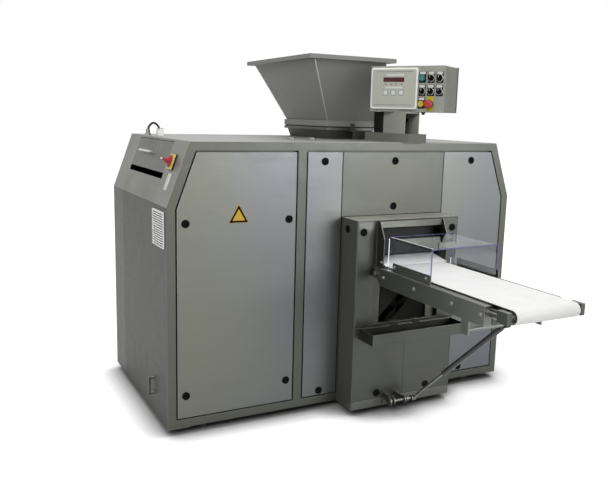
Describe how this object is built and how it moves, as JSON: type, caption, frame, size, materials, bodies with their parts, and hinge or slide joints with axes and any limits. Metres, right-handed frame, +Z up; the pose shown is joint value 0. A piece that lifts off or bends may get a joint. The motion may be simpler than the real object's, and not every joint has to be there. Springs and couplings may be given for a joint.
{
  "type": "dough divider",
  "caption": "Stainless dough divider with a feed hopper, a dividing drum behind covers, a tilting delivery belt with a clear guard and a swivel control console.",
  "frame": {"origin": "floor level under the middle of the object's bounding box", "axes": "+X along the cabinet towards its plain end, +Y from the delivery belt towards the rear, +Z up"},
  "size_m": [1.8, 2.0099, 1.626],
  "materials": {
    "frame_steel": "brushed",
    "panel_steel": "brushed",
    "hopper_steel": "brushed",
    "bright_steel": "satin",
    "black_plastic": "matte",
    "black_rubber": "matte",
    "foot_rubber": "matte",
    "white_plastic": "satin",
    "console_paint": "satin paint",
    "machine_paint": "satin paint",
    "ivory_plastic": "satin",
    "green_plastic": "gloss",
    "yellow_plastic": "gloss",
    "red_plastic": "gloss",
    "white_belt": "matte coated",
    "clear_guard": "clear",
    "black_paint": "satin paint",
    "polished_rod": "polished"
  },
  "bodies": {
    "cabinet": {"base_frame": "frame_steel", "levelling_feet": "foot_rubber", "front_frame": "frame_steel", "left_end_panel": "panel_steel", "right_end_panel": "panel_steel", "top_plate": "panel_steel", "rear_panel": "panel_steel", "left_cover": "panel_steel", "narrow_cover": "panel_steel", "upper_cover": "panel_steel", "right_cover": "panel_steel", "outfeed_housing": "frame_steel", "housing_covers": "panel_steel", "cover_locks": "black_plastic", "filter_grille": "white_plastic", "outlet_cheeks": "panel_steel", "conveyor_brackets": "frame_steel", "strut_anchor": "frame_steel", "feed_throat": "hopper_steel", "hopper_seal": "black_rubber", "hopper_bracket": "frame_steel", "console_arm": "frame_steel", "console_pedestal": "console_paint", "cable_fittings": "black_plastic", "loop_cable": "black_rubber", "side_plates": "bright_steel", "chamber_block": "bright_steel", "hydraulic_actuators": "machine_paint", "hydraulic_unit": "machine_paint", "switchgear_panel": "console_paint", "isolator_plate": "yellow_plastic"},
    "hopper_unit": {"hopper": "hopper_steel"},
    "flap_unit": {"end_flap": "panel_steel", "flap_handle": "bright_steel"},
    "isolator_knob": {"isolator_handle": "red_plastic"},
    "console": {"console_box": "console_paint", "display_unit": "ivory_plastic", "button_bezels": "black_plastic"},
    "green_push": {"green_button": "green_plastic"},
    "yellow_push": {"yellow_button": "yellow_plastic"},
    "stop_push": {"estop_button": "red_plastic"},
    "left_dial_knob": {"left_dial": "black_plastic"},
    "right_dial_knob": {"right_dial": "black_plastic"},
    "left_selector_knob": {"left_selector": "black_plastic"},
    "middle_selector_knob": {"middle_selector": "black_plastic"},
    "right_selector_knob": {"right_selector": "black_plastic"},
    "conveyor": {"conveyor_frame": "bright_steel", "conveyor_belt": "white_belt", "bearing_blocks": "bright_steel", "belt_guard": "clear_guard"},
    "drive_drum": {"drive_roller": "bright_steel"},
    "tail_drum": {"tail_roller": "bright_steel"},
    "strut_tube": {"strut_cylinder": "black_paint"},
    "strut_piston": {"strut_rod": "polished_rod"},
    "tray": {"catch_tray": "panel_steel"},
    "outlet_door": {"outlet_flap": "black_plastic"},
    "ram_unit": {"ram": "bright_steel"},
    "knife_unit": {"knife": "bright_steel"},
    "drum_unit": {"dividing_drum": "bright_steel"},
    "piston_unit": {"measuring_pistons": "white_plastic"}
  },
  "joints": [
    {"name": "hopper_lift", "type": "slide", "parent": "cabinet", "child": "hopper_unit", "axis": [0, 0, 1], "range_m": [0, 0.2]},
    {"name": "end_flap_hinge", "type": "hinge", "parent": "cabinet", "child": "flap_unit", "pos_m": [-0.78002, 0.446, 1.21442], "axis": [0, 1, 0], "range_deg": [0, 75]},
    {"name": "isolator_turn", "type": "hinge", "parent": "cabinet", "child": "isolator_knob", "pos_m": [-0.82259, 0.1005, 1.14379], "axis": [-0.9382, 0, 0.346], "range_deg": [0, 90]},
    {"name": "console_swivel", "type": "hinge", "parent": "cabinet", "child": "console", "pos_m": [0.2935, 0.079, 1.37], "axis": [0, 0, 1], "range_deg": [-35, 55]},
    {"name": "green_press", "type": "slide", "parent": "console", "child": "green_push", "axis": [0.8387, 0.5446, 0], "range_m": [0, 0.004], "stiffness_N_per_m": 900},
    {"name": "yellow_press", "type": "slide", "parent": "console", "child": "yellow_push", "axis": [0.8387, 0.5446, 0], "range_m": [0, 0.004], "stiffness_N_per_m": 900},
    {"name": "stop_press", "type": "slide", "parent": "console", "child": "stop_push", "axis": [0.8387, 0.5446, 0], "range_m": [0, 0.006]},
    {"name": "left_dial_turn", "type": "hinge", "parent": "console", "child": "left_dial_knob", "pos_m": [0.3398, -0.07217, 1.5233], "axis": [-0.8387, -0.5446, 0], "range_deg": [-135, 135]},
    {"name": "right_dial_turn", "type": "hinge", "parent": "console", "child": "right_dial_knob", "pos_m": [0.36213, -0.10656, 1.5233], "axis": [-0.8387, -0.5446, 0], "range_deg": [-135, 135]},
    {"name": "left_selector_turn", "type": "hinge", "parent": "console", "child": "left_selector_knob", "pos_m": [0.31747, -0.03778, 1.4643], "axis": [-0.8387, -0.5446, 0], "range_deg": [-45, 45]},
    {"name": "middle_selector_turn", "type": "hinge", "parent": "console", "child": "middle_selector_knob", "pos_m": [0.3398, -0.07217, 1.4643], "axis": [-0.8387, -0.5446, 0], "range_deg": [-45, 45]},
    {"name": "right_selector_turn", "type": "hinge", "parent": "console", "child": "right_selector_knob", "pos_m": [0.36213, -0.10656, 1.4643], "axis": [-0.8387, -0.5446, 0], "range_deg": [-45, 45]},
    {"name": "conveyor_tilt", "type": "hinge", "parent": "cabinet", "child": "conveyor", "pos_m": [0.2055, -0.1725, 0.662], "axis": [1, 0, 0], "range_deg": [0, 20], "stiffness_Nm_per_rad": 700, "springref_deg": -28.65},
    {"name": "drive_roller_spin", "type": "hinge", "parent": "conveyor", "child": "drive_drum", "pos_m": [0.2055, -0.2115, 0.675], "axis": [1, 0, 0], "continuous": true},
    {"name": "tail_roller_spin", "type": "hinge", "parent": "conveyor", "child": "tail_drum", "pos_m": [0.2055, -0.978, 0.675], "axis": [1, 0, 0], "continuous": true},
    {"name": "strut_swing", "type": "hinge", "parent": "conveyor", "child": "strut_tube", "pos_m": [0.2245, -0.778, 0.578], "axis": [1, 0, 0], "range_deg": [-10.47, 1]},
    {"name": "strut_travel", "type": "slide", "parent": "strut_tube", "child": "strut_piston", "axis": [0, 0.742, -0.6704], "range_m": [-0.17533, 0.003]},
    {"name": "tray_lift", "type": "slide", "parent": "cabinet", "child": "tray", "axis": [0, 0, 1], "range_m": [0, 0.05]},
    {"name": "outlet_flap_swing", "type": "hinge", "parent": "cabinet", "child": "outlet_door", "pos_m": [0.2055, -0.1205, 0.86], "axis": [-1, 0, 0], "range_deg": [0, 60]},
    {"name": "ram_travel", "type": "slide", "parent": "cabinet", "child": "ram_unit", "axis": [0, -1, 0], "range_m": [0, 0.315]},
    {"name": "knife_travel", "type": "slide", "parent": "cabinet", "child": "knife_unit", "axis": [0, -1, 0], "range_m": [0, 0.165]},
    {"name": "drum_turn", "type": "hinge", "parent": "cabinet", "child": "drum_unit", "pos_m": [0.2055, -0.0065, 0.79], "axis": [-1, 0, 0], "range_deg": [0, 150]},
    {"name": "piston_travel", "type": "slide", "parent": "drum_unit", "child": "piston_unit", "axis": [0, 1, 0], "range_m": [0, 0.04]}
  ],
  "couplings": [
    {"joint": "tail_roller_spin", "follows": "drive_roller_spin", "ratio": 1},
    {"joint": "strut_swing", "follows": "conveyor_tilt", "ratio": -0.4733},
    {"joint": "strut_travel", "follows": "conveyor_tilt", "m_per_rad": -0.4937}
  ]
}
